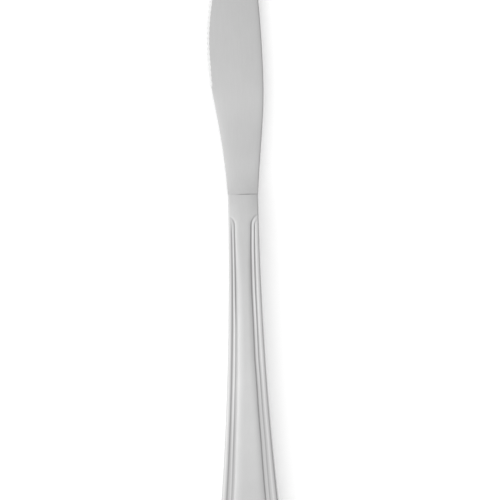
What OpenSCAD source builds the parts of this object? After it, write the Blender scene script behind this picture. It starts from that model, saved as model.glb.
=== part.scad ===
// Hollow-handle table knife, lying on its back face.
// +Y runs to the tip, +X to the spine, +Z up out of the front face.
// The origin is on the table, midway along the knife, under the axis of the handle.

/* [Overall] */
// Length of the blade, from the seam at the neck to the tip
blade_length = 96; // [86:1:106]
// Length of the handle, from the seam at the neck to the butt
handle_length = 138; // [124:1:150]

/* [Blade] */
// How far the cutting edge bellies out from the axis of the handle
edge_reach = 11.2; // [9.6:0.1:11.4]
// How far the spine stands out from the axis of the handle
spine_reach = 7.9; // [6.6:0.1:9]
// How far the tip lies from the axis, on the spine side
tip_offset = 2.8; // [1.5:0.1:4]
// Thickness of the spine near the bolster
spine_thickness = 2.3; // [1.8:0.1:3]
// Thickness of the spine near the tip
tip_thickness = 1.2; // [0.9:0.1:1.8]
// Thickness of the blade along its edge, which the flutes cut to an edge
edge_thickness = 0.7; // [0.5:0.05:0.9]
// Radius that softens the spine
spine_radius = 0.5; // [0.3:0.1:0.8]
// Length over which the blade swells into the bolster
bolster_run = 12; // [8:1:18]
// Step from the bolster down to the mouth of the handle, on each side
bolster_step = 0.1; // [0:0.05:0.3]

/* [Serration] */
// Distance from one tooth to the next
tooth_pitch = 1.8; // [1.4:0.1:2.4]
// Depth of the scallop between two teeth
tooth_depth = 0.3; // [0.2:0.05:0.4]
// Radius of the wheel that grinds each flute
flute_radius = 1.35; // [1.1:0.05:2]
// Tilt of the flutes to the face of the blade
flute_tilt = 50; // [44:1:56]
// Distance from the seam to the first tooth
teeth_start = 38; // [30:1:44]
// Distance from the seam to the last tooth
teeth_end = 80; // [70:1:84]

/* [Handle] */
// Width of the neck
neck_width = 10.2; // [9:0.1:12]
// Width of the handle at its widest, by the butt
butt_width = 22.8; // [21:0.1:26]
// Length of the rounded end, from the widest place to the butt
butt_round = 10; // [7:0.5:14]
// Thickness of the handle
handle_thickness = 8; // [7:0.1:10]
// Thickness of the neck at the seam
neck_thickness = 5.8; // [5:0.1:6.8]
// Length over which the neck thickens
neck_run = 9; // [6:0.5:12]
// How far the face falls from its crest to its border
crown_fall = 0.34; // [0.1:0.02:0.5]
// Radius of the corner between face and side, at the neck
neck_corner = 0.25; // [0.15:0.05:0.4]
// Radius of the corner between face and side, at the butt
butt_corner = 1.4; // [1:0.1:1.6]
// Wall of the stamped shells
shell_wall = 0.9; // [0.7:0.05:1.1]
// Width of the flat along the crest, at the neck
crest_flat = 1.2; // [0.8:0.1:1.6]

/* [Border] */
// Depth of the two grooves that border the handle
groove_depth = 0.27; // [0.15:0.01:0.35]
// Width over which a side of a groove falls
groove_slope = 0.56; // [0.4:0.02:0.7]
// Distance from the seam to where the grooves have turned to run along the handle
shoulder_end = 10.6; // [9:0.1:13]
// How much longer than wide the turn of the grooves is
shoulder_stretch = 1.4; // [1.2:0.1:1.8]

/* [Tang] */
// Width of the tang
tang_width = 5; // [4:0.1:5.6]
// Thickness of the tang
tang_thickness = 2.4; // [1.8:0.1:2.8]
// Length of the tang beyond the seam
tang_length = 30; // [20:1:40]
// Radius of the notches along the sides of the tang
notch_radius = 0.8; // [0.5:0.1:1]
// Distance from one notch to the next
notch_pitch = 7; // [5:0.5:8]
// How far the cement reaches past the end of the tang
cement_cover = 4; // [2:1:8]
// Gap left all round the cement, where its skin bonds to the metal
bond_line = 0.05; // [0.02:0.01:0.1]

/* [Hidden] */
$fn = 32;

// One overrun serves every cut
overrun = 0.5;

// Half sizes and the places that follow from the lengths
neck_half = neck_width / 2;
butt_half = butt_width / 2;
body_half = handle_thickness / 2;
mouth_half = neck_thickness / 2;
bolster_half = neck_half + bolster_step;
seam_y = (handle_length - blade_length) / 2;
widest_s = handle_length - butt_round;

// Outline of the blade: control points as shares of its length and of each side's rise
edge_root_shares = [[0, 0], [0.27, 0.235], [0.363, 1], [0.538, 1]];
edge_tip_shares = [[0.538, 1], [0.676, 1], [1, 0.479], [1, 0]];
spine_root_shares = [[0, 0], [0.175, 0.335], [0.265, 1], [0.394, 1]];
spine_tip_shares = [[0.394, 1], [0.628, 1], [1, 0.39], [1, 0]];

// Section of the blade: places across its face and round its spine, how far its faces bulge as
// a share of its width, how much of the round corner the spine takes, and how much of the width
// a corner may take
face_shares = [0.2, 0.4, 0.6, 0.8];
round_shares = [1, 0.35, 0];
bulge_share = 0.036;
spine_round_share = 0.8;
corner_limit_share = 0.125;
swell_power = 2.4;

// Outline of the handle: control points as shares of its length to the widest place
flare_end_share = 0.8125;
flare_rise_share = 0.742;
hip_pull_share = 0.07;
hip_round_share = 0.0445;
butt_power = 2.5;

// Section of the hollow: how far its crown and its side fall, as shares of the half thickness
crown_share = 0.2;
side_share = 0.5;
crest_share = 0.87;

// Border of the handle, as distances from its outline that are shares of the half width: the
// edge of the field, both sides of the bead between the grooves, and the edge of the rim
neck_line_shares = [0.471, 0.363, 0.251, 0.178];
butt_line_shares = [0.428, 0.332, 0.289, 0.174];

// How much of the grooves' depth the bead regains, how deep the grooves start in the neck, and
// how close the rows of the mesh may come there
neck_bead_share = 1;
butt_bead_share = 0.4;
start_depth_share = 0.6;
slope_fit_share = 0.42;
row_gap_share = 0.01;

function mix(a, b, t) = a + (b - a) * t;
function clamp(t) = max(0, min(1, t));
function ease(t) = let (c = clamp(t)) c * c * (3 - 2 * c);

// Point of a cubic curve, and its height where its run reaches u, found by halving
function curve_at(c, t) =
    pow(1 - t, 3) * c[0] + 3 * pow(1 - t, 2) * t * c[1] + 3 * (1 - t) * t * t * c[2] + pow(t, 3) * c[3];
function param_at(c, u, low = 0, high = 1, steps = 22) =
    let (middle = (low + high) / 2)
    steps == 0 ? middle
    : curve_at(c, middle)[0] < u ? param_at(c, u, middle, high, steps - 1)
    : param_at(c, u, low, middle, steps - 1);
function height_at(c, u) = curve_at(c, param_at(c, u))[1];

// Control points in millimetres, from shares of a length and of a rise from low to high
function scaled(shares, long, low, high) = [for (p = shares) [p[0] * long, mix(low, high, p[1])]];

edge_root = scaled(edge_root_shares, blade_length, bolster_half, edge_reach);
edge_tip = scaled(edge_tip_shares, blade_length, -tip_offset, edge_reach);
spine_root = scaled(spine_root_shares, blade_length, bolster_half, spine_reach);
spine_tip = scaled(spine_tip_shares, blade_length, tip_offset, spine_reach);

// Distance of the cutting edge and of the spine from the axis, u beyond the seam
function edge_at(u) = height_at(u < edge_root[3][0] ? edge_root : edge_tip, u);
function spine_at(u) = height_at(u < spine_root[3][0] ? spine_root : spine_tip, u);

// Half thickness of the spine, and how much of the bolster's form is left, u beyond the seam
function spine_half_at(u) = mix(spine_thickness, tip_thickness, clamp(u / blade_length)) / 2;
function bolster_left(u) = pow(1 - clamp(u / bolster_run), swell_power);

// Half section of the hollow at share t of the half width: a crown that falls gently to its
// crest, then rolls over into an upright side
function crown_at(t) =
    t <= crest_share ? 1 - crown_share * t * t
    : let (roll = (t - crest_share) / (1 - crest_share), top = 1 - crown_share * crest_share * crest_share)
      side_share + (top - side_share) * sqrt(max(0, 1 - roll * roll));

// How far a round corner falls at a distance from the side that it ends on
function corner_drop(from_side, radius) =
    radius * (1 - sqrt(1 - pow(clamp(1 - from_side / radius), 2)));

// A solid from closed loops of points, each loop running along the front and back along the
// back, so that point j faces point n - 1 - j
module loft(loops) {
    n = len(loops[0]);
    last = (len(loops) - 1) * n;
    half = n / 2;
    sides = [for (i = [0 : len(loops) - 2]) for (j = [0 : n - 1])
        let (a = i * n + j, b = i * n + (j + 1) % n) each [[a, b + n, b], [a, a + n, b + n]]];
    caps = [for (j = [0 : half - 2])
        let (k = n - 1 - j) each [
            [j, k - 1, k], [j, j + 1, k - 1],
            [last + j, last + k, last + k - 1], [last + j, last + k - 1, last + j + 1]]];
    polyhedron(points = [for (loop = loops) each loop], faces = concat(sides, caps), convexity = 4);
}

// Stations along the blade: through the bolster, along the blade, and round the tip
bolster_steps = 8;
blade_steps = 20;
tip_steps = 9;
tip_run_share = 0.14;
tip_turn = 84;
tip_run = tip_run_share * blade_length;
blade_stations = concat(
    [for (i = [0 : bolster_steps - 1]) bolster_run * i / bolster_steps],
    [for (i = [0 : blade_steps - 1]) mix(bolster_run, blade_length - tip_run, i / blade_steps)],
    [for (i = [0 : tip_steps]) blade_length - tip_run * (1 - sin(tip_turn * i / tip_steps))]);

// Half height of the blade at distance d from its edge, of a width w in all: a thin wedge with
// slightly convex faces and a rounded spine
function wedge_at(d, w, u, round) =
    mix(edge_thickness / 2, spine_half_at(u), d / w) + bulge_share * d * (1 - d / w)
    - spine_round_share * corner_drop(w - d, round);

// Half height of the bolster there: the section of the neck, crowned with rounded corners
function oval_at(d, w, corner) =
    mouth_half - crown_fall * pow(2 * d / w - 1, 2) - corner_drop(min(d, w - d), corner);

// One closed loop across the blade at station u
function blade_loop(u) =
    let (
        edge = edge_at(u),
        w = edge + spine_at(u),
        left = bolster_left(u),
        corner = min(neck_corner, corner_limit_share * w),
        round = min(spine_radius, corner_limit_share * w),
        runs = concat(
            [0, corner],
            [for (t = face_shares) mix(corner, w - round, t)],
            [for (t = round_shares) w - round * t]),
        count = len(runs),
        heights = [for (d = runs) mix(wedge_at(d, w, u, round), oval_at(d, w, corner), left)]
    )
    concat(
        [for (j = [0 : count - 1]) [runs[j] - edge, u, heights[j]]],
        [for (j = [count - 1 : -1 : 0]) [runs[j] - edge, u, -heights[j]]]);

// The wheel marks of the serration: tilted flutes whose lowest lines meet the back face of the
// blade a tooth depth inside the edge, and whose sides meet at the points of the teeth
flute_facets = 6;
module flutes() {
    count = floor((teeth_end - teeth_start) / tooth_pitch);
    reach = 2 * flute_radius;
    spread = asin(tooth_pitch / 2 / flute_radius);
    arc = [for (i = [0 : flute_facets])
        let (turn = mix(-spread, spread, i / flute_facets))
        flute_radius * [sin(turn), 1 - cos(turn)]];
    for (i = [0 : count])
        let (
            u = teeth_start + i * tooth_pitch,
            rise = (edge_at(u + tooth_pitch / 2) - edge_at(u - tooth_pitch / 2)) / tooth_pitch
        )
        translate([-edge_at(u), u, -edge_thickness / 2])
        rotate([0, 0, -atan(rise)])
        translate([tooth_depth, 0, 0])
        rotate([0, -flute_tilt, 0])
        translate([-reach, 0, 0])
        rotate([90, 0, 90])
        linear_extrude(height = 2 * reach)
        polygon(concat(arc, [[tooth_pitch / 2, reach], [-tooth_pitch / 2, reach]]));
}

// The flat tang with its paired notches; skin is the gap left round it in the cement
module tang(skin = 0) {
    width = tang_width + 2 * skin;
    thick = tang_thickness + 2 * skin;
    notches = floor((tang_length - notch_pitch / 2) / notch_pitch);
    difference() {
        translate([-width / 2, -tang_length - skin, -thick / 2])
        cube([width, tang_length + skin + overrun, thick]);
        for (i = [1 : notches]) for (side = [-1, 1])
            translate([side * tang_width / 2, -i * notch_pitch, -tang_thickness])
            cylinder(h = 2 * tang_thickness, r = notch_radius - skin);
    }
}

// Half width of the handle s behind the seam: a slow flare, then the hip by the butt
flare_end = flare_end_share * widest_s;
flare_half = mix(neck_half, butt_half, flare_rise_share);
flare_slope = 2 * (flare_half - neck_half) / flare_end;
hip = [
    [flare_end, flare_half],
    [flare_end + hip_pull_share * widest_s, flare_half + hip_pull_share * widest_s * flare_slope],
    [widest_s - hip_round_share * widest_s, butt_half],
    [widest_s, butt_half]];
function half_width_at(s) =
    s < flare_end ? mix(neck_half, flare_half, pow(clamp(s / flare_end), 2)) : height_at(hip, s);

// Half thickness of the handle s behind the seam
function half_thick_at(s) = mix(body_half, mouth_half, pow(1 - clamp(s / neck_run), 2));

// Stations along one side of the handle, as distances behind the seam
neck_steps = 3;
shoulder_steps = 10;
flare_steps = 15;
fan_steps = 8;
shoulder_run = shoulder_stretch * (neck_line_shares[0] * neck_half + groove_slope / 2);
shoulder_start = shoulder_end - shoulder_run;
side_stations = concat(
    [for (i = [0 : neck_steps - 1]) shoulder_start * i / neck_steps],
    [for (i = [0 : shoulder_steps - 1]) shoulder_start + shoulder_run * i / shoulder_steps],
    [for (i = [0 : flare_steps - 1]) mix(shoulder_end, widest_s, i / flare_steps)]);

// The outline of the handle, from the seam down the left side, round the butt and back up:
// each entry is where its ray starts on the axis, the direction of the ray and its length
function fan_ray(turn) =
    let (
        x = butt_half * pow(abs(cos(turn)), 2 / butt_power) * sign(cos(turn)),
        s = butt_round * pow(sin(turn), 2 / butt_power),
        long = norm([x, s])
    )
    [widest_s, [-x / long, s / long], long];
rays = concat(
    [for (s = side_stations) [s, [-1, 0], half_width_at(s)]],
    [for (i = [0 : 2 * fan_steps]) fan_ray(90 * i / fan_steps)],
    [for (i = [len(side_stations) - 1 : -1 : 0])
        let (s = side_stations[i]) [s, [1, 0], half_width_at(s)]]);

// Distances from the outline to the four lines of the border, s behind the seam
function lines_at(s) =
    [for (i = [0 : 3])
        mix(neck_line_shares[i] * neck_half, butt_line_shares[i] * butt_half, clamp(s / widest_s))];

// Radius of the corner along the rim, and how far the border has set in past the neck
function corner_at(s) = mix(neck_corner, butt_corner, clamp(s / widest_s));
function border_left(s) = ease((s - shoulder_start) / shoulder_run);

// How far the lines of the border have still to turn at s
function turn_at(s) = max(0, shoulder_end - s) / shoulder_stretch;

// Depth of the grooves at a distance from the outline: one channel with a sloping side at each
// edge, less the bead along its middle
function groove_at(away, s) =
    let (
        lines = lines_at(s),
        from = norm([away, turn_at(s)]),
        past = [for (line = lines) ease((from - line) / groove_slope + 1 / 2)],
        bead = mix(neck_bead_share, butt_bead_share, clamp(s / widest_s))
    )
    groove_depth * mix(start_depth_share, 1, border_left(s)) * past[3] * (1 - past[0])
    * (1 - bead * past[2] * (1 - past[1]));

// Height of the outer face at a place on a ray: the neck is crowned, and further back the field
// is pillowed inside a level border
function face_at(ray, place) =
    let (
        s = ray[0],
        long = ray[2],
        flat = crest_flat / 2 * long / neck_half,
        off = max(0, place - flat),
        field = min(1, off / (long - lines_at(s)[0] - flat)),
        flare = clamp((long - neck_half) / (butt_half - neck_half)),
        pillow = mix(pow(field, 2), pow(field, 4), flare),
        crown = pow(off / neck_half, 2)
    )
    half_thick_at(s) - crown_fall * mix(crown, pillow, border_left(s)) - groove_at(long - place, s);

// One column of the outer skin, from the flat on the crest out over the border, round the corner
// and down the side to the mid-plane
field_shares = [0, 0.45, 0.75, 0.92];
corner_turns = [0, 35, 65, 90];
function skin_column(ray) =
    let (
        s = ray[0],
        long = ray[2],
        flat = crest_flat / 2 * long / neck_half,
        lines = lines_at(s),
        gap = min(lines[0] - lines[1], lines[1] - lines[2], lines[2] - lines[3]),
        w = min(groove_slope / 2, slope_fit_share * gap),
        corner = corner_at(s),
        edges = [for (line = lines) each [line + w, line - w]],
        count = len(edges),
        rows = [for (k = [0 : count - 1])
            let (least = corner + (count - k) * row_gap_share * neck_half)
            long - max(least, sqrt(max(0, pow(edges[k], 2) - pow(turn_at(s), 2))))],
        places = concat([for (t = field_shares) mix(flat, rows[0], t)], rows)
    )
    concat(
        [for (place = places) ray_point(ray, place, face_at(ray, place))],
        [for (turn = corner_turns)
            ray_point(ray, long - corner * (1 - sin(turn)),
                face_at(ray, long - corner * (1 - sin(turn))) - corner * (1 - cos(turn)))],
        [ray_point(ray, long, 0)]);

// A point at a distance along a ray, at a height above the mid-plane
function ray_point(ray, along, z) = [ray[1][0] * along, -ray[0] - ray[1][1] * along, z];

// One column of the hollow, inset from the skin and carried a little past the mid-plane
hollow_shares = [0.3, 0.6, crest_share];
hollow_turns = [45, 90];
function hollow_column(ray, inset) =
    let (
        long = ray[2] - inset,
        thick = half_thick_at(ray[0]) - inset,
        places = concat([crest_flat / 2 / neck_half], hollow_shares,
            [for (turn = hollow_turns) mix(crest_share, 1, sin(turn))])
    )
    concat(
        [for (t = places) ray_point(ray, t * long, thick * crown_at(t))],
        [ray_point(ray, long, -overrun)]);

// A closed half body from columns of points that run round its outline from one side of the
// mouth to the other, each from the crest down to its flat underside
module half_body(columns) {
    n = len(columns);
    m = len(columns[0]);
    middle = (n - 1) / 2;
    skin = [for (i = [0 : n - 2]) for (j = [0 : m - 2])
        let (a = i * m + j, b = a + m) each [[a, b + 1, a + 1], [a, b, b + 1]]];
    mouth = [for (j = [0 : m - 2])
        let (a = j, b = (n - 1) * m + j) each [[a, a + 1, b + 1], [a, b + 1, b]]];
    rungs = [for (i = [0 : middle - 1]) let (k = n - 1 - i) [i * m, (i + 1) * m, (k - 1) * m, k * m]];
    crest = [for (r = rungs)
        each r[1] == r[2] ? [[r[0], r[3], r[1]]] : [[r[0], r[3], r[2]], [r[0], r[2], r[1]]]];
    floor_rungs = [for (r = rungs) [for (v = r) v + m - 1]];
    under = [for (r = floor_rungs)
        each r[1] == r[2] ? [[r[0], r[1], r[3]]] : [[r[0], r[1], r[2]], [r[0], r[2], r[3]]]];
    polyhedron(points = [for (c = columns) each c], faces = concat(skin, mouth, crest, under), convexity = 6);
}

// A half shell with its hollow, on the mid-plane with its mouth at the origin
module half_shell() {
    difference() {
        half_body([for (ray = rays) skin_column(ray)]);
        half_body([for (ray = concat([mouth_ray(rays[0])], rays, [mouth_ray(rays[len(rays) - 1])]))
            hollow_column(ray, shell_wall)]);
    }
}

// A ray carried a little out of the mouth, so that the hollow opens there
function mouth_ray(ray) = [-overrun, ray[1], ray[2]];

// One closed loop of the cement, inset from the shells, s behind the seam
cement_steps = 8;
cement_depth = tang_length + cement_cover;
function cement_loop(s) =
    let (
        inset = shell_wall + bond_line,
        across = half_width_at(s) - inset,
        thick = half_thick_at(s) - inset,
        places = concat(hollow_shares, [for (turn = hollow_turns) mix(crest_share, 1, sin(turn))]),
        span = concat([for (i = [len(places) - 1 : -1 : 0]) -places[i]], places)
    )
    [for (face = [1, -1]) for (t = face * span)
        [t * across, -s, face * thick * crown_at(abs(t))]];

module on_seam() {
    translate([0, seam_y, body_half])
    children();
}

module blade() {
    color("silver")
    on_seam() {
        difference() {
            loft([for (u = blade_stations) blade_loop(u)]);
            flutes();
        }
        tang();
    }
}

module handle_front_shell() {
    color("gainsboro")
    on_seam()
    half_shell();
}

module handle_back_shell() {
    color("lightgray")
    on_seam()
    mirror([0, 0, 1])
    half_shell();
}

module tang_cement() {
    color("rosybrown")
    on_seam()
    difference() {
        loft([for (i = [0 : cement_steps]) cement_loop(cement_depth * (1 - i / cement_steps))]);
        tang(bond_line);
    }
}

blade();
handle_front_shell();
handle_back_shell();
tang_cement();
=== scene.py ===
"""A hollow-handle table knife of stainless steel, seen from straight above on a white table.

The pieces are worked out in millimetres in the frame of the solids: +Y to the tip, +X to the
spine, +Z up out of the front face, with the seam of blade and handle at y = 21 and the plane
between the two half shells at z = 4.
"""
import math

import bmesh
import bpy
import numpy as np
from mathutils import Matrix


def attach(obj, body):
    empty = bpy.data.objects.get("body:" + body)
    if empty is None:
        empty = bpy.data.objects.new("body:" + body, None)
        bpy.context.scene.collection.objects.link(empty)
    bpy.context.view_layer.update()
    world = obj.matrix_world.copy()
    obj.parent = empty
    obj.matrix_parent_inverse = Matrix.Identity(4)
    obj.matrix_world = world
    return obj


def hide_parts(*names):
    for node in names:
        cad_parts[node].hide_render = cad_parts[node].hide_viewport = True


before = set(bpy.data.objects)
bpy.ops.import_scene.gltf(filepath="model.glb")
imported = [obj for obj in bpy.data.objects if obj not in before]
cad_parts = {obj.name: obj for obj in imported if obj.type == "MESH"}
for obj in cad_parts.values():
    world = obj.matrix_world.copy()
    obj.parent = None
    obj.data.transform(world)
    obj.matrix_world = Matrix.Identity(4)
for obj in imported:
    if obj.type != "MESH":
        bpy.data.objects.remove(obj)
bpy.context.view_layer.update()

# Blade: one stainless forging of a bellied blade, its bolster and the flat notched tang that is
# cemented into the handle. The blade is ground along its length to a fine satin, and a wheel
# has cut a row of tilted flutes into the front of the edge, which leaves the teeth.
MILLIMETRE = 0.001
SEAM_Y = 21.0
MID_Z = 4.0
BLADE_LENGTH = 96.0
BOLSTER_HALF = 5.2
BOLSTER_HALF_THICKNESS = 2.9
EDGE_REACH = 11.12
SPINE_REACH = 7.9
TIP_OFFSET = 2.8


def curve_height(points, run):
    """Height of a cubic Bezier curve where its run reaches the given value: the four Bernstein
    terms are summed on a fine row of parameters, and the height is read off by its run."""
    t = np.linspace(0.0, 1.0, 600)[:, None]
    start, lead, trail, end = np.asarray(points, float)
    near = (1 - t) ** 3 * start + 3 * (1 - t) ** 2 * t * lead
    curve = near + 3 * (1 - t) * t * t * trail + t**3 * end
    return np.interp(run, curve[:, 0], curve[:, 1])


def side_reach(shares, reach, tip, u):
    """Distance of one side of the blade from the axis: a rise from the bolster to the reach,
    then a fall to the tip, each a cubic whose points are shares of the length and the rise."""
    root, end = (np.array(side, float) for side in shares)
    rise_height = BOLSTER_HALF + (reach - BOLSTER_HALF) * root[:, 1]
    rise = np.column_stack([root[:, 0] * BLADE_LENGTH, rise_height])
    fall = np.column_stack([end[:, 0] * BLADE_LENGTH, tip + (reach - tip) * end[:, 1]])
    return np.where(u < rise[3, 0], curve_height(rise, u), curve_height(fall, u))


def edge_reach(u):
    """Distance of the cutting edge from the axis, u beyond the seam, by the two cubics."""
    root = ((0, 0), (0.27, 0.235), (0.363, 1), (0.538, 1))
    end = ((0.538, 1), (0.72, 1), (1, 0.43), (1, 0))
    return side_reach((root, end), EDGE_REACH, -TIP_OFFSET, u)


def spine_reach(u):
    """Distance of the spine from the axis, u beyond the seam, by the two cubics."""
    root = ((0, 0), (0.175, 0.41), (0.265, 1), (0.394, 1))
    end = ((0.394, 1), (0.628, 1), (1, 0.39), (1, 0))
    return side_reach((root, end), SPINE_REACH, TIP_OFFSET, u)


def ease(t):
    """Smooth step from 0 to 1: 3 t squared less 2 t cubed, held level outside."""
    t = np.clip(t, 0.0, 1.0)
    return t * t * (3 - 2 * t)


def mix(a, b, t):
    """a at t = 0 and b at t = 1, along a straight line."""
    return a + (b - a) * t


def put_mesh(name, points, faces, crease, kept, values):
    """Mesh of the given points, in millimetres, and faces, with doubles merged, smooth shading
    and a sharp edge wherever two faces meet at more than the crease angle. One number per point
    is kept under the given name, for the material to read."""
    mesh = bpy.data.meshes.new(name)
    mesh.from_pydata((np.asarray(points) * MILLIMETRE).tolist(), [], np.asarray(faces).tolist())
    layer = mesh.attributes.new(kept, "FLOAT", "POINT")
    layer.data.foreach_set("value", values.ravel().astype(np.float32))
    build = bmesh.new()
    build.from_mesh(mesh)
    bmesh.ops.remove_doubles(build, verts=build.verts, dist=1e-7)
    build.to_mesh(mesh)
    build.free()
    mesh.polygons.foreach_set("use_smooth", np.ones(len(mesh.polygons), bool))
    mesh.set_sharp_from_angle(angle=math.radians(crease))
    mesh.update()
    piece = bpy.data.objects.new(name, mesh)
    bpy.context.scene.collection.objects.link(piece)
    return piece


TOOTH_PITCH = 1.8
TOOTH_DEPTH = 0.25
FLUTE_RADIUS = 2.6
FLUTE_TILT = math.radians(50)
TEETH_START = 38.0
TEETH_END = 80.0
EDGE_HALF = 0.35
EDGE_ROLL = 0.34
ROLL_RUN = 1.4
FACE_BOW = 0.036
SPINE_HALF_AT_ROOT = 1.15
SPINE_HALF_AT_TIP = 0.6
SPINE_FALL = 0.12
SPINE_ROUND = 0.42
SWELL_LENGTH = 12.0
NECK_CROWN = 0.35
LIP_DEPTH = 0.14
LIP_LENGTH = 0.2
TANG_LENGTH = 30.0
TANG_HALF_WIDTH = 2.5
TANG_HALF_THICKNESS = 1.2
NOTCH_RADIUS = 0.8
NOTCH_PLACES = (-21.0, -14.0, -7.0)
BLADE_CREASE = 28.0


def toothed(u):
    """1 along the toothed stretch of the edge, easing to 0 over 3 mm at each end of it."""
    return ease((u - TEETH_START + 3) / 3) * ease((TEETH_END + 3 - u) / 3)


def flute_rise(u):
    """Height of the flute's round bottom above its lowest line at u: the radius less the root of
    the radius squared less the squared distance to the middle of the nearest flute."""
    last = TEETH_START + TOOTH_PITCH * math.floor((TEETH_END - TEETH_START) / TOOTH_PITCH)
    nearest = TEETH_START + TOOTH_PITCH * np.round((u - TEETH_START) / TOOTH_PITCH)
    off = np.clip(np.abs(u - np.clip(nearest, TEETH_START, last)), 0.0, FLUTE_RADIUS)
    return FLUTE_RADIUS - np.sqrt(FLUTE_RADIUS**2 - off**2)


def seam_lip(u, across):
    """Depth of the polished lip at the seam, u from it: its full depth times the square of the
    share of its length that is left, and only 0.4 of that at the left side (across 0), rising
    with a smooth step to all of it from the middle on."""
    return LIP_DEPTH * mix(0.4, 1.0, ease(2 * across)) * np.clip(1 - u / LIP_LENGTH, 0, 1) ** 2


def blade_rings():
    """Rings of points across the blade, at stations u from the seam to the tip, and which points
    the flutes have cut. Each ring runs along the front from edge to spine and back along the back
    face. Its half height is a line from edge to spine with a slight bow, share times 1 less share,
    less the edge's roll, which fades with the exponential of the distance from the edge."""
    # Stations: close together at the seam and at the tip, and 14 to each tooth
    u = np.unique(np.round(np.concatenate([
        LIP_LENGTH * np.linspace(0, 1, 7) ** 2,
        np.linspace(LIP_LENGTH, SWELL_LENGTH, 36),
        np.linspace(SWELL_LENGTH, TEETH_START - 1.4, 34),
        np.arange(TEETH_START - 1.4, TEETH_END + 1.4, TOOTH_PITCH / 14),
        BLADE_LENGTH - 13.44 * (1 - np.sin(np.linspace(0.16, np.radians(84), 44))),
    ]), 4))[:, None]
    edge, spine = edge_reach(u), spine_reach(u)
    width = edge + spine
    zone = toothed(u)

    # Distances from the edge: down the flute to the line where it leaves the face, across the
    # face, and round the spine. A flute whose bottom clears the face has no cut, and the first
    # flutes are shallow, where the wheel comes down on the edge.
    rise = flute_rise(u)
    cut = TOOTH_DEPTH - 0.4 * (1 - ease((u - TEETH_START + 1) / 9))
    recede = np.clip(cut - rise / math.sin(FLUTE_TILT), 0, None) * (zone > 0.5)
    leave = cut + (2 * EDGE_HALF - rise / math.cos(FLUTE_TILT)) / math.tan(FLUTE_TILT)
    blunt_run = np.minimum(0.3, width / 8)
    leave = np.where((zone > 0.5) & (leave > recede + 0.02), leave, recede + blunt_run)
    near = np.minimum(1.2, width * 0.3)
    spine_run = np.minimum(SPINE_ROUND, width / 4)
    d = np.hstack([
        mix(recede, leave, np.linspace(0, 1, 11)[None, :-1]),
        mix(leave, near, np.linspace(0, 1, 6)[None, :-1]),
        mix(near, width - spine_run, np.linspace(0, 1, 24)[None, :-1]),
        width - spine_run * (1 - np.sin(np.linspace(0, math.pi / 2, 9)[None, :])),
    ])

    # Near the edge the rings lean along its normal, so that the flutes cut square to it
    slope = np.gradient(edge[:, 0], u[:, 0])[:, None] * zone
    lean = slope / np.sqrt(1 + slope**2)
    along = lean * np.minimum(d, near) * np.clip((width - d) / (width - near + 1e-6), 0, 1)
    x = d - edge
    y = u + along

    # Half heights: a thin wedge, a little convex, whose faces fall off towards the spine and end
    # there in a rounded corner. Behind the teeth the wedge is flat to its edge, and elsewhere it
    # rolls down over the last 2 mm to a blunt edge with a rounded corner.
    spine_half = mix(SPINE_HALF_AT_ROOT, SPINE_HALF_AT_TIP, np.clip(u / BLADE_LENGTH, 0, 1))
    across = np.clip(d / width, 0, 1)
    from_spine = width - d
    deep = np.clip(width / 10, 0, 1)
    rolled = EDGE_ROLL * (1 - ease((u - 22) / 16) * ease((86 - u) / 6)) * deep
    wedge = mix(EDGE_HALF + rolled, spine_half, across) + FACE_BOW * width * across * (1 - across)
    wedge = wedge - SPINE_FALL * np.clip(1 - from_spine / 2.4, 0, 1) ** 3 * deep
    corner = np.clip(1 - from_spine / spine_run, 0, 1)
    wedge = wedge - 0.8 * spine_run * (1 - np.sqrt(1 - corner**2))
    blunt = np.clip(1 - d / blunt_run, 0, 1)
    corner_fall = 0.2 * (1 - zone) * (1 - np.sqrt(1 - blunt**2))
    front = wedge - rolled * np.exp(-d / ROLL_RUN) - corner_fall
    back = front.copy()
    flute = -EDGE_HALF + (d - cut) * math.tan(FLUTE_TILT) + rise / math.cos(FLUTE_TILT)
    flute = np.where(zone > 0.5, np.maximum(flute, -EDGE_HALF + 0.01), np.inf)
    # Mask of the points the flutes have cut, which carries a painted highlight
    flute_cut_highlight = np.hstack([(flute < front), np.zeros(front.shape, bool)]).astype(float)
    front = np.minimum(front, flute)

    # The bolster: the section swells to the crowned oval that meets the mouth of the handle
    left = (1 - np.clip(u / SWELL_LENGTH, 0, 1)) ** 2.4
    side_round = 0.22
    side_turn = np.clip(1 - np.minimum(d, width - d) / side_round, 0, 1)
    crown = NECK_CROWN * (2 * d / width - 1) ** 2
    oval = BOLSTER_HALF_THICKNESS - crown - side_round * (1 - np.sqrt(1 - side_turn**2))
    lip = seam_lip(u, d / width)
    front = mix(front, oval, left) - lip
    back = mix(back, oval, left) - lip
    ring_front = np.stack([x, y, front], axis=-1)
    ring_back = np.stack([x, y, -back], axis=-1)[:, ::-1]
    return np.concatenate([ring_front, ring_back], axis=1), flute_cut_highlight


def tang_rings(count):
    """Rings of points round the tang, laid out like the blade's, with count points on each face.
    It is a flat bar whose half width is less, at each pair of round notches, by the root of the
    notch's radius squared less the squared distance to its middle."""
    places = np.array(NOTCH_PLACES)
    across_notch = NOTCH_RADIUS * np.sin(np.linspace(-math.pi / 2, math.pi / 2, 13))
    v = np.unique(np.concatenate([
        np.linspace(-TANG_LENGTH, 0, 31), *(place + across_notch for place in places)
    ]))[:, None]
    nearest = np.min(np.abs(v - places[None, :]), axis=1, keepdims=True)
    half = TANG_HALF_WIDTH - np.sqrt(np.clip(NOTCH_RADIUS**2 - nearest**2, 0, None))
    x = half * np.linspace(-1, 1, count)[None, :]
    y = np.broadcast_to(v, x.shape)
    z = np.full(x.shape, TANG_HALF_THICKNESS)
    above, below = np.stack([x, y, z], axis=-1), np.stack([x, y, -z], axis=-1)
    return np.concatenate([above, below[:, ::-1]], axis=1)


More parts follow.
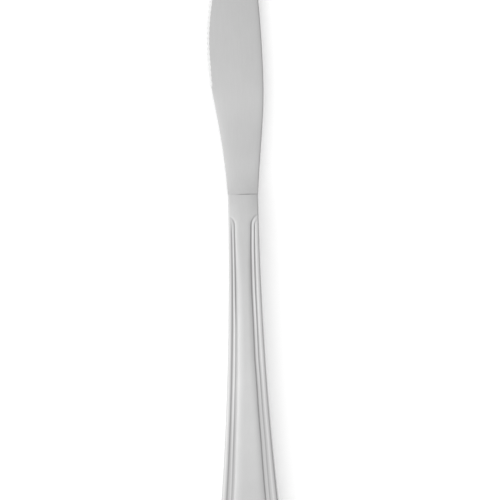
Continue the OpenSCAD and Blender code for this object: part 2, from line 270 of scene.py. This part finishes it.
def ring_faces(stations, count):
    """Quads that join each ring to the next, and strips across the first ring and the last."""
    i = np.arange(stations - 1)[:, None] * count
    j = np.arange(count)[None, :]
    k = (j + 1) % count
    sides = np.stack([i + j, i + k, i + count + k, i + count + j], axis=-1).reshape(-1, 4)
    near = np.arange(count // 2 - 1)
    far = count - 1 - near
    last = (stations - 1) * count
    tip = np.stack([last + near, last + near + 1, last + far - 1, last + far], axis=-1)
    end = np.stack([near, far, far - 1, near + 1], axis=-1)
    return np.concatenate([sides, tip, end])


rings, flute_cut_highlight = blade_rings()
tang = tang_rings(rings.shape[1] // 2)
rings = np.concatenate([tang, rings])
flute_cut_highlight = np.concatenate([np.zeros(tang.shape[:2]), flute_cut_highlight])
blade_points = rings.reshape(-1, 3) + (0, SEAM_Y, MID_Z)
blade_quads = ring_faces(*rings.shape[:2])
blade = put_mesh("blade_with_tang", blade_points, blade_quads, BLADE_CREASE, "flute_cut_highlight", flute_cut_highlight)
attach(blade, "root")
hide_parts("blade")


def own_place(tree):
    """The place of each point in the piece's own coordinates, in metres."""
    return tree.nodes.new("ShaderNodeTexCoord").outputs["Object"]


def noise(tree, place, scale, detail, roughness=0.5):
    """Soft noise from 0 to 1 over the given place, finer with the scale and with the detail."""
    step = tree.nodes.new("ShaderNodeTexNoise")
    tree.links.new(place, step.inputs["Vector"])
    step.inputs["Scale"].default_value = scale
    step.inputs["Detail"].default_value = detail
    step.inputs["Roughness"].default_value = roughness
    return step.outputs["Fac"]


def worked(tree, operation, *terms):
    """One step of arithmetic on its terms, each a number or another step's output."""
    step = tree.nodes.new("ShaderNodeMath")
    step.operation = operation
    for socket, term in zip(step.inputs, terms):
        if isinstance(term, bpy.types.NodeSocket):
            tree.links.new(term, socket)
        else:
            socket.default_value = term
    return step.outputs[0]


def ranged(tree, value, low, high, at_low, at_high):
    """A value on a straight line from at_low, where it is low, to at_high, where it is high, and
    held level outside."""
    step = tree.nodes.new("ShaderNodeMapRange")
    tree.links.new(value, step.inputs["Value"])
    step.inputs["From Min"].default_value = low
    step.inputs["From Max"].default_value = high
    step.inputs["To Min"].default_value = at_low
    step.inputs["To Max"].default_value = at_high
    return step.outputs["Result"]


def scaled(tree, colour, level):
    """The colour times the level."""
    step = tree.nodes.new("ShaderNodeVectorMath")
    step.operation = "SCALE"
    tree.links.new(colour, step.inputs[0])
    tree.links.new(level, step.inputs["Scale"])
    return step.outputs[0]


def changed(tree, colour, mask, other):
    """The colour at a mask of 0, and the other one at 1, along a straight line."""
    step = tree.nodes.new("ShaderNodeMix")
    step.data_type = "RGBA"
    tree.links.new(mask, step.inputs["Factor"])
    tree.links.new(colour, step.inputs[6])
    step.inputs[7].default_value = (*other, 1.0)
    return step.outputs[2]


def relief(tree, height, depth):
    """Normals for a surface whose height, from 0 to 1, stands for the given depth in metres."""
    step = tree.nodes.new("ShaderNodeBump")
    step.inputs["Distance"].default_value = depth
    tree.links.new(height, step.inputs["Height"])
    return step.outputs[0]


def brushed_grain():
    """Node group for brushed steel: fine noise drawn out along the knife gives the grain, and a
    broad soft noise gives faint clouds. Each, less a half and times its amount, is added up: the
    tint is the colour times 1 more than the sum, and the roughness is less by the sum."""
    group = bpy.data.node_groups.new("brushed_grain", "ShaderNodeTree")
    for name, kind, value in (
        ("Colour", "NodeSocketColor", (0.6, 0.6, 0.6, 1.0)),
        ("Across", "NodeSocketFloat", 3000.0),
        ("Along", "NodeSocketFloat", 120.0),
        ("Grain", "NodeSocketFloat", 0.05),
        ("Clouds", "NodeSocketFloat", 0.04),
        ("Roughness", "NodeSocketFloat", 0.3),
    ):
        socket = group.interface.new_socket(name, in_out="INPUT", socket_type=kind)
        socket.default_value = value
    for name, kind in (
        ("Tint", "NodeSocketColor"),
        ("Roughness", "NodeSocketFloat"),
        ("Height", "NodeSocketFloat"),
    ):
        group.interface.new_socket(name, in_out="OUTPUT", socket_type=kind)
    nodes, links = group.nodes, group.links
    given = nodes.new("NodeGroupInput")
    out = nodes.new("NodeGroupOutput")
    place = own_place(group)
    stretch = nodes.new("ShaderNodeCombineXYZ")
    for axis, amount in (("X", "Across"), ("Y", "Along"), ("Z", "Across")):
        links.new(given.outputs[amount], stretch.inputs[axis])
    drawn = nodes.new("ShaderNodeVectorMath")
    drawn.operation = "MULTIPLY"
    links.new(place, drawn.inputs[0])
    links.new(stretch.outputs[0], drawn.inputs[1])
    grain = noise(group, drawn.outputs[0], 1.0, 4.0, 0.6)
    clouds = noise(group, place, 160.0, 5.0)

    def centred(source, amount):
        """The source less a half, times the amount."""
        return worked(group, "MULTIPLY", worked(group, "SUBTRACT", source, 0.5), amount)

    fine = centred(grain, given.outputs["Grain"])
    both = worked(group, "ADD", fine, centred(clouds, given.outputs["Clouds"]))
    tint = scaled(group, given.outputs["Colour"], worked(group, "ADD", both, 1.0))
    links.new(tint, out.inputs["Tint"])
    rough = worked(group, "SUBTRACT", given.outputs["Roughness"], both)
    links.new(rough, out.inputs["Roughness"])
    links.new(grain, out.inputs["Height"])
    return group


def seam_line():
    """Node group for the painted shade and dark residue in the joint of blade and handle: a mask
    that is 1 on the plane of the seam and falls to 0 over 0.25 mm on each side of it, times a slow
    noise.
    It is full within 1.2 mm of a line 1.4 mm right of the middle, and gone 4.2 mm from that line."""
    group = bpy.data.node_groups.new("seam_line", "ShaderNodeTree")
    group.interface.new_socket("Mask", in_out="OUTPUT", socket_type="NodeSocketFloat")
    place = own_place(group)
    split = group.nodes.new("ShaderNodeSeparateXYZ")
    group.links.new(place, split.inputs[0])
    beyond = worked(group, "SUBTRACT", split.outputs["Y"], SEAM_Y * MILLIMETRE)
    near = ranged(group, worked(group, "ABSOLUTE", beyond), 0.0, 0.00025, 1.0, 0.0)
    right = worked(group, "SUBTRACT", split.outputs["X"], 0.0014)
    ends = ranged(group, worked(group, "ABSOLUTE", right), 0.0012, 0.0042, 1.0, 0.0)
    patches = ranged(group, noise(group, place, 700.0, 2.0), 0.3, 0.6, 0.6, 1.0)
    mask = worked(group, "MULTIPLY", near, worked(group, "MULTIPLY", ends, patches))
    group.links.new(mask, group.nodes.new("NodeGroupOutput").inputs["Mask"])
    return group


grain_group = brushed_grain()
seam_group = seam_line()
PAINTED_LIGHT_REACH = 0.12


def painted_light_along(name, levels):
    """Node group for painted light and shade along the knife: a smooth curve through the given
    levels, each at its y in metres, the first and last as far from the middle as the painted light
    reaches. It puts out the tint times the level."""
    group = bpy.data.node_groups.new(name, "ShaderNodeTree")
    group.interface.new_socket("Tint", in_out="INPUT", socket_type="NodeSocketColor")
    group.interface.new_socket("Tint", in_out="OUTPUT", socket_type="NodeSocketColor")
    nodes, links = group.nodes, group.links
    given = nodes.new("NodeGroupInput")
    out = nodes.new("NodeGroupOutput")
    split = nodes.new("ShaderNodeSeparateXYZ")
    links.new(own_place(group), split.inputs[0])
    along = ranged(group, split.outputs["Y"], -PAINTED_LIGHT_REACH, PAINTED_LIGHT_REACH, 0.0, 1.0)
    level = nodes.new("ShaderNodeFloatCurve")
    points = level.mapping.curves[0].points
    for y, value in levels[1:-1]:
        points.new((y + PAINTED_LIGHT_REACH) / (2 * PAINTED_LIGHT_REACH), value)
    points[0].location = (0.0, levels[0][1])
    points[len(points) - 1].location = (1.0, levels[-1][1])
    level.mapping.update()
    links.new(along, level.inputs["Value"])
    links.new(scaled(group, given.outputs["Tint"], level.outputs[0]), out.inputs["Tint"])
    return group


def steel(name, colour, roughness, across, along, grain, clouds, bump, levels):
    """Material of satin stainless steel that takes its tint, roughness and height from the grain,
    is painted lighter and darker along the knife as painted light and shade, and is darkened in the
    seam of blade and handle by painted shade and dark residue."""
    material = bpy.data.materials.new(name)
    material.use_nodes = True
    tree = material.node_tree
    shader = tree.nodes["Principled BSDF"]
    shader.inputs["Metallic"].default_value = 1.0
    satin = tree.nodes.new("ShaderNodeGroup")
    satin.node_tree = grain_group
    satin.inputs["Colour"].default_value = (*colour, 1.0)
    satin.inputs["Roughness"].default_value = roughness
    satin.inputs["Across"].default_value = across
    satin.inputs["Along"].default_value = along
    satin.inputs["Grain"].default_value = grain
    satin.inputs["Clouds"].default_value = clouds
    # Painted light and shade: the tint is made lighter and darker along the knife, on the given
    # levels
    painted_light = tree.nodes.new("ShaderNodeGroup")
    painted_light.node_tree = painted_light_along(name + "_painted_light", levels)
    tree.links.new(satin.outputs["Tint"], painted_light.inputs["Tint"])
    seam = tree.nodes.new("ShaderNodeGroup")
    seam.node_tree = seam_group
    # Painted shade and dark residue in the seam: the tint goes to a dark grey on the seam's mask
    tint = changed(tree, painted_light.outputs["Tint"], seam.outputs["Mask"], (0.36, 0.36, 0.36))
    tree.links.new(tint, shader.inputs["Base Color"])
    tree.links.new(satin.outputs["Roughness"], shader.inputs["Roughness"])
    tree.links.new(relief(tree, satin.outputs["Height"], bump), shader.inputs["Normal"])
    return material


def tint_where(material, name, colour):
    """Change the steel's tint to the given colour where the named value of its points is 1."""
    tree = material.node_tree
    value = tree.nodes.new("ShaderNodeAttribute")
    value.attribute_name = name
    tint = tree.nodes["Principled BSDF"].inputs["Base Color"]
    plain = tint.links[0].from_socket
    tree.links.new(changed(tree, plain, value.outputs["Fac"], colour), tint)


# The levels paint the blade lighter and darker along its length: painted light and shade
blade_steel = steel(
    "satin_blade", colour=(0.58, 0.58, 0.58), roughness=0.32, bump=0.0000013,
    across=3200.0, along=160.0, grain=0.08, clouds=0.05,
    levels=(
        (-PAINTED_LIGHT_REACH, 0.96), (0.02, 0.966), (0.031, 0.968), (0.039, 0.951), (0.052, 0.998),
        (0.062, 0.96), (0.085, 0.92), (PAINTED_LIGHT_REACH, 0.89),
    ),
)
blade.data.materials.append(blade_steel)
# Painted highlight: the steel that the flutes have cut is tinted paler
tint_where(blade_steel, "flute_cut_highlight", (0.74, 0.74, 0.74))

# Front half of the handle: a half shell stamped from stainless sheet, with two grooves pressed
# round its border that curve in from the sides of the neck. It is brazed to the back half along
# the rim and polished flush, then given a soft satin.
HANDLE_LENGTH = 138.0
NECK_HALF = 5.1
BUTT_HALF = 11.4
BUTT_ROUND = 10.0
BUTT_POWER = 2.5
BODY_HALF = 4.0
MOUTH_SWELL = 9.0
SHELL_WALL = 0.9
RIM_AT_NECK = 0.46
RIM_AT_BUTT = 1.3
CREST_FLAT = 0.6
FIELD_PILLOW = 0.33
RIGHT_EXTRA = 0.08
WIDEST = HANDLE_LENGTH - BUTT_ROUND
SHOULDER_START = 6.85
SHOULDER_END = 10.6
SHOULDER_STRETCH = 1.4
GROOVE_DEPTH = 0.25
WALL_WIDTH = 0.54
HANDLE_CREASE = 40.0


def handle_half_width(s):
    """Half width of the handle, s behind the seam: it widens with s squared as far as the hip,
    then a cubic carries it to the widest place."""
    flare_end = 0.8125 * WIDEST
    flare_half = mix(NECK_HALF, BUTT_HALF, 0.735)
    slope = 2 * (flare_half - NECK_HALF) / flare_end
    hip = [
        (flare_end, flare_half),
        (flare_end + 0.07 * WIDEST, flare_half + 0.07 * WIDEST * slope),
        (WIDEST - 0.0445 * WIDEST, BUTT_HALF),
        (WIDEST, BUTT_HALF),
    ]
    slow = mix(NECK_HALF, flare_half, np.clip(s / flare_end, 0, 1) ** 2)
    return np.where(s < flare_end, slow, curve_height(hip, s))


def handle_half_thickness(s):
    """Half thickness of the handle, s behind the seam: it starts at the bolster's and grows with a
    parabola over the swell of the mouth."""
    return mix(BODY_HALF, BOLSTER_HALF_THICKNESS, (1 - np.clip(s / MOUTH_SWELL, 0, 1)) ** 2)


def border_lines(s, side):
    """Distances from the outline to the four walls of the two grooves, s behind the seam, each a
    straight line from its value at the seam to its value at the widest place: the field's edge,
    the inner side of the bead, its outer side, and the inner side of the outer roll. The die is
    not quite even, so the lines wander by up to 0.25 mm along the handle, most of all the first
    one, and in another way on each side (-1 left to 1 right)."""
    at_seam = np.array([[2.40, 1.85, 1.28, 0.91]])
    at_widest = np.array([[4.88, 3.79, 3.30, 1.98]])
    first_line, first_three = np.array([[1, 0, 0, 0]]), np.array([[1, 1, 1, 0]])
    left = first_line * np.interp(s, (10, 18, 32, 72, 84), (-0.12, -0.12, 0.15, 0.15, 0.0))
    left = left + first_three * np.interp(
        s, (8, 14, 34, 44, 62, 70, 86, 98), (0.0, -0.1, -0.1, 0.0, 0.0, -0.1, -0.1, 0.0)
    )
    right = np.interp(s, (8, 14, 46, 62, 72, 84, 98), (0.0, 0.13, 0.13, 0.0, 0.0, -0.12, 0.0))
    right = right + first_three * np.interp(
        s, (14, 19, 33, 42, 46, 56, 66), (0.0, 0.1, 0.1, 0.0, 0.0, 0.12, 0.0)
    )
    return mix(at_seam, at_widest, np.clip(s / WIDEST, 0, 1)) + mix(left, right, (side + 1) / 2)


def border_left(s):
    """How far the border has set in past the neck: a smooth step along the turn of the grooves."""
    return ease((s - SHOULDER_START) / (SHOULDER_END - SHOULDER_START))


def from_outline(reach, s):
    """Distance to the outline, which also measures the turn of the grooves at the neck: the root
    of the squared distance and the squared, shortened run to the end of the shoulder."""
    run = np.clip(SHOULDER_END - s, 0, None) / SHOULDER_STRETCH
    return np.sqrt(np.clip(reach, 0, None) ** 2 + run**2)


def grooves(reach, s, side, lines):
    """Depth of the border at a distance from the outline: a smooth step at each of its four lines
    joins the levels of the rim, the outer groove, the bead, the inner groove and the field. Near
    the neck the grooves are shallower on the left and a little deeper on the right, and the inner
    wall of the bead is wider there. The outer groove sets in past the shoulder, more slowly and
    deeper on the left. The bead sinks towards the butt, most on the left. From the middle of the
    handle the inner groove is shallower, on the right as far as the butt, and the border lies
    lower than the field. It also gives the mask of the painted shade in the grooves: 1 between
    the outer walls, a little further out on the right, and fading in along the handle."""
    away = from_outline(reach, s)
    right = (side + 1) / 2
    shallow = ease((s - 32) / 16) * mix(ease((90 - s) / 26), 1, right)
    depth_left = np.interp(s, (10, 15, 30, 42), (0.58, 0.76, 1.0, 1.03))
    depth_right = np.interp(s, (18, 30, 42), (1.12, 1.0, 0.88))
    depth = GROOVE_DEPTH * mix(depth_left, depth_right, right) * mix(1.0, 0.75, ease((s - 50) / 50))
    outer = depth * mix(1.0, 0.85, right) * ease((s - SHOULDER_START - 1.6) / mix(5.5, 3, right))
    bead = depth * mix(0.6, 0.3, right) * ease((s - mix(62, 40, right)) / 40)
    inner = depth * mix(0.6, 1.0, border_left(s)) * mix(1.0, 0.45, shallow)
    border = (GROOVE_DEPTH * mix(1.0, 0.93, right) - inner) * ease((s - 25) / 10)
    wall = WALL_WIDTH + 0.2 * ease((s - 25) / 20) * np.array([[0, 0, 0, 1]])
    wall = wall + 0.2 * right * (1 - ease((s - 16) / 12)) * np.array([[0, 1, 0, 0]])

    def past(line):
        """0 outside the wall at this line, 1 inside it, with a smooth step across its width."""
        return ease((away - lines[:, line:line + 1]) / wall[:, line:line + 1] + 0.5)

    rise = border + outer * past(3) + (bead - outer) * past(2)
    # Mask of the painted shade in the grooves
    groove_shade = ease((away - lines[:, 3:4]) / WALL_WIDTH + mix(1, 1.7, right))
    groove_shade = groove_shade * (1 - ease((away - lines[:, 0:1]) / WALL_WIDTH + mix(0.5, 0.9, right)))
    groove_shade = groove_shade * ease((s - mix(60, 30, right)) / mix(30, 50, right))
    return rise + (inner - bead) * past(1) - (inner + border) * past(0), groove_shade


def column_places(long, flat, rim, lines, s):
    """Distances along each column from the crest to the outline. They are fine across each wall
    of the grooves, but even where the grooves turn out to the side of the neck, and round the rim
    they follow the sine of an even turn."""
    half_wall = WALL_WIDTH / 2
    field, bead, bead_outside, roll = (long - lines[:, i:i + 1] for i in range(4))
    stops = np.maximum.accumulate(np.hstack([
        np.zeros_like(long), flat,
        field - 2.2 * half_wall, field - half_wall, field + half_wall,
        bead - 0.9 * half_wall, bead + half_wall,
        bead_outside - half_wall, bead_outside + half_wall,
        roll - 0.9 * half_wall, roll + half_wall, long - rim,
    ]), axis=1)
    steps = (1, 8, 3, 8, 2, 8, 2, 8, 2, 8, 3)
    fine = np.hstack([
        mix(stops[:, i:i + 1], stops[:, i + 1:i + 2], np.arange(count)[None, :] / count)
        for i, count in enumerate(steps)
    ])
    even = (long - rim) * np.arange(sum(steps))[None, :] / sum(steps)
    reach = mix(even, fine, ease((s - SHOULDER_END) / 3))
    bend = np.sin(np.radians(np.linspace(0, 90, 11)))[None, :]
    return np.hstack([reach, mix(long - rim, long, bend)])


def face_fall(off, field, s, side):
    """How far the face has fallen at a distance off from the flat along its crest, where the field
    ends at the given distance. On the neck it is a crown, the square of the distance, and up to
    0.6 fuller: on the left from 3 mm behind the seam, on the right only next to it. Past the
    shoulder it is a pillow, the share of the field to a power that goes from 3 to 2, and then to
    the power of 4 towards the butt."""
    share = np.clip(off / field, 0, 1)
    rear = ease((s - 50) / 30)
    strength = mix(mix(0.5, 1, ease((s - 12) / 16)), 0, rear)
    pillow = share ** mix(3, 2, ease((s - 14) / 20)) * strength
    pillow = FIELD_PILLOW * (pillow + share**4 * rear)
    fuller = mix(0.6 * ease((s - 3) / 3), 0.5 * (1 - ease(s / 8)), (side + 1) / 2)
    crown = NECK_CROWN * (off / NECK_HALF) ** 2 * (1 + fuller)
    return mix(crown, pillow, border_left(s))


def hollow_height(t):
    """Half height of the hollow at the share t of its half width, as a share of its half
    thickness: 1 less a fifth of t squared, which beyond the crest turns down with a quarter round
    to an upright side."""
    crest, upright = 0.87, 0.5
    roll = np.clip((t - crest) / (1 - crest), 0.0, 1.0)
    return upright + (1 - 0.2 * t * t - upright) * np.sqrt(1 - roll * roll)


def half_shell():
    """Closed grid of a half shell on the mid-plane, with its mouth at y = 0, and the mask of the
    painted shade in the grooves at each point. Columns run round the outline from the left of the
    mouth by the butt to the right of it, on rays from the axis that fan out over the butt's rounded
    end, a superellipse. Each column runs from the crest out over the border to the rim, and back
    inside under the wall to the crest. The right of the neck is a little wider."""
    side = np.unique(np.round(np.concatenate([
        LIP_LENGTH * np.linspace(0, 1, 6) ** 2,
        np.linspace(LIP_LENGTH, 6.4, 14),
        np.linspace(6.4, 14, 77),
        np.linspace(14, 110, 127),
        np.linspace(110, WIDEST, 30),
    ]), 4))
    turn = np.radians(np.linspace(0, 180, 85))[1:-1]
    fan_x = -BUTT_HALF * np.abs(np.cos(turn)) ** (2 / BUTT_POWER) * np.sign(np.cos(turn))
    fan_y = BUTT_ROUND * np.sin(turn) ** (2 / BUTT_POWER)
    fan_long = np.hypot(fan_x, fan_y)
    ones, zeros = np.ones(len(side)), np.zeros(len(side))
    s = np.concatenate([side, np.full(len(turn), WIDEST), side[::-1]])[:, None]
    ray_x = np.concatenate([-ones, fan_x / fan_long, ones])[:, None]
    ray_y = np.concatenate([zeros, fan_y / fan_long, zeros])[:, None]
    side_long = handle_half_width(side)
    wider = RIGHT_EXTRA * np.clip(1 - s / 60, 0, 1) * np.clip(ray_x, 0, 1)
    long = np.concatenate([side_long, fan_long, side_long[::-1]])[:, None] + wider
    thick = handle_half_thickness(s)
    lines = border_lines(s, ray_x) + wider
    rim = mix(RIM_AT_NECK, RIM_AT_BUTT, np.clip(s / WIDEST, 0, 1))
    flat = CREST_FLAT * long / NECK_HALF

    # Heights: the face and its border, rolled down round the rim with a quarter round, less the
    # polished lip at the seam
    reach = column_places(long, flat, rim, lines, s)
    depth, groove_shade = grooves(long - reach, s, ray_x, lines)
    fall = face_fall(np.clip(reach - flat, 0, None), long - lines[:, 0:1] - flat, s, ray_x)
    roll = np.clip((reach - long + rim) / rim, 0, 1)
    z = thick - fall - depth - rim * (1 - np.sqrt(1 - roll * roll))
    z = z - seam_lip(s, (1 + ray_x * reach / long) / 2)
    z = np.hstack([z, np.zeros_like(long)])
    reach = np.hstack([reach, long])

    # The hollow: the same rows drawn in by the wall, under a plain crown
    t = reach / long
    inside = (thick - SHELL_WALL) * hollow_height(t)
    inside[:, -1] = 0.0

    def placed(along, height):
        """Points at distances along each ray and at heights above the mid-plane."""
        return np.stack([ray_x * along, -s - ray_y * along, height], axis=-1)

    outside = placed(reach, z)
    hollow = placed(t * (long - SHELL_WALL), inside)
    groove_shade = np.hstack([groove_shade, np.zeros((len(groove_shade), 2 * reach.shape[1] - groove_shade.shape[1]))])
    return np.concatenate([outside, hollow[:, ::-1]], axis=1), groove_shade


def shell_faces(columns, rows):
    """Quads between neighbouring columns, and a strip round the open mouth that joins each row
    of the outside to the same row of the hollow."""
    i = np.arange(columns - 1)[:, None] * rows
    j = np.arange(rows - 1)[None, :]
    skin = np.stack([i + j, i + j + 1, i + rows + j + 1, i + rows + j], axis=-1).reshape(-1, 4)
    near = np.arange(rows // 2 - 1)
    far = rows - 1 - near
    last = (columns - 1) * rows
    left = np.stack([near, far, far - 1, near + 1], axis=-1)
    right = np.stack([last + near, last + near + 1, last + far - 1, last + far], axis=-1)
    return np.concatenate([skin, left, right])


shell, groove_shade = half_shell()
shell_quads = shell_faces(shell.shape[0], shell.shape[1])
front_points = shell.reshape(-1, 3) + (0, SEAM_Y, MID_Z)
front_half = put_mesh(
    "handle_front_half", front_points, shell_quads, HANDLE_CREASE, "groove_shade", groove_shade
)
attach(front_half, "root")
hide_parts("handle_front_shell")
# The levels paint the handle lighter and darker along its length: painted light and shade
handle_steel = steel(
    "satin_handle", colour=(0.66, 0.66, 0.66), roughness=0.34, bump=0.000002,
    across=1500.0, along=260.0, grain=0.06, clouds=0.06,
    levels=(
        (-PAINTED_LIGHT_REACH, 0.92), (-0.085, 0.918), (-0.05, 0.985), (-0.02, 0.95), (-0.004, 0.912),
        (0.012, 0.9), (PAINTED_LIGHT_REACH, 0.89),
    ),
)
# Painted shade: the steel in the grooves of the border is tinted darker, fading in along the handle
tint_where(handle_steel, "groove_shade", (0.565, 0.565, 0.565))
front_half.data.materials.append(handle_steel)

# Back half of the handle: the same stamping turned over, so its grooves face the table. The
# knife rests on the flat along its crest.
back_points = shell.reshape(-1, 3) * (1, 1, -1) + (0, SEAM_Y, MID_Z)
back_half = put_mesh(
    "handle_back_half", back_points, shell_quads[:, ::-1], HANDLE_CREASE, "groove_shade", groove_shade
)
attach(back_half, "root")
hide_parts("handle_back_shell")
back_half.data.materials.append(handle_steel)

# Tang cement: a hard filler of resin and mineral powder, poured into the neck of the handle
# round the notched tang. It is the solid from the frame, with a matt grainy finish.
cement = bpy.data.materials.new("cast_cement")
cement.use_nodes = True
cast = cement.node_tree
cement_shader = cast.nodes["Principled BSDF"]
cement_shader.inputs["Specular IOR Level"].default_value = 0.3
specks = noise(cast, own_place(cast), 1400.0, 6.0)
cement_colours = cast.nodes.new("ShaderNodeValToRGB")
cement_colours.color_ramp.elements[0].color = (0.42, 0.34, 0.27, 1)
cement_colours.color_ramp.elements[1].color = (0.66, 0.57, 0.48, 1)
cast.links.new(specks, cement_colours.inputs["Fac"])
cast.links.new(cement_colours.outputs["Color"], cement_shader.inputs["Base Color"])
cast.links.new(ranged(cast, specks, 0.0, 1.0, 0.75, 0.95), cement_shader.inputs["Roughness"])
cast.links.new(relief(cast, specks, 0.00005), cement_shader.inputs["Normal"])
cement_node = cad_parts["tang_cement"]
cement_node.data.materials.clear()
cement_node.data.materials.append(cement)

# Table: a seamless white sheet under the knife. What the camera sees of it is lifted to white,
# and the knife's soft shadow stays.
table_mesh = bpy.data.meshes.new("table_top")
table_mesh.from_pydata([(-3, -3, 0), (3, -3, 0), (3, 3, 0), (-3, 3, 0)], [], [(0, 1, 2, 3)])
table_top = bpy.data.objects.new("table_top", table_mesh)
bpy.context.scene.collection.objects.link(table_top)
paper = bpy.data.materials.new("white_sheet")
paper.use_nodes = True
sheet = paper.node_tree
paper_shader = sheet.nodes["Principled BSDF"]
paper_shader.inputs["Base Color"].default_value = (0.95, 0.95, 0.95, 1)
paper_shader.inputs["Roughness"].default_value = 1.0
paper_shader.inputs["Specular IOR Level"].default_value = 0.0
paper_shader.inputs["Emission Color"].default_value = (1, 1, 1, 1)
paper_ray = sheet.nodes.new("ShaderNodeLightPath").outputs
paper_seen = worked(sheet, "MAXIMUM", paper_ray["Is Camera Ray"], paper_ray["Is Glossy Ray"])
paper_lift = worked(sheet, "MULTIPLY", paper_seen, 0.24)
sheet.links.new(paper_lift, paper_shader.inputs["Emission Strength"])
table_mesh.materials.append(paper)

# Light: a white studio room that is brighter on the left, worked out from the direction of
# each ray: 1 less 0.52 t less 0.11 t squared, where t goes from -1 at the left to 1 at the right.
# What the camera sees past the table is plain white.
world = bpy.data.worlds.new("studio")
bpy.context.scene.world = world
world.use_nodes = True
room = world.node_tree
background = room.nodes["Background"]
background.inputs["Color"].default_value = (1, 1, 1, 1)
direction = room.nodes.new("ShaderNodeTexCoord")
slant = room.nodes.new("ShaderNodeVectorMath")
slant.operation = "DOT_PRODUCT"
slant.inputs[1].default_value = (1, 0.16, 0)
room.links.new(direction.outputs["Generated"], slant.inputs[0])
fall = worked(room, "MULTIPLY_ADD", slant.outputs["Value"], -0.11, -0.52)
level = worked(room, "MULTIPLY_ADD", slant.outputs["Value"], fall, 1.0)
room_ray = room.nodes.new("ShaderNodeLightPath").outputs
room_level = room.nodes.new("ShaderNodeMix")
room.links.new(room_ray["Is Camera Ray"], room_level.inputs["Factor"])
room.links.new(level, room_level.inputs["A"])
room_level.inputs["B"].default_value = 1.0
room.links.new(room_level.outputs["Result"], background.inputs["Strength"])

# Camera: straight above the knife with a long lens, turned a little so that the knife leans. Its
# view is 170 mm wide at the height of the knife's faces.
camera_data = bpy.data.cameras.new("camera")
camera = bpy.data.objects.new("camera", camera_data)
bpy.context.scene.collection.objects.link(camera)
camera_data.sensor_width = 36.0
camera_height = 1.5
subject_height = 0.006
field = 0.170
camera_data.lens = camera_data.sensor_width * (camera_height - subject_height) / field
camera_data.clip_start = 0.05
camera_data.clip_end = 20.0
camera.location = (0.00195, 0.00201, camera_height)
camera.rotation_euler = (0, 0, math.radians(-1.358))
bpy.context.scene.camera = camera

bpy.context.scene.view_settings.view_transform = "Standard"
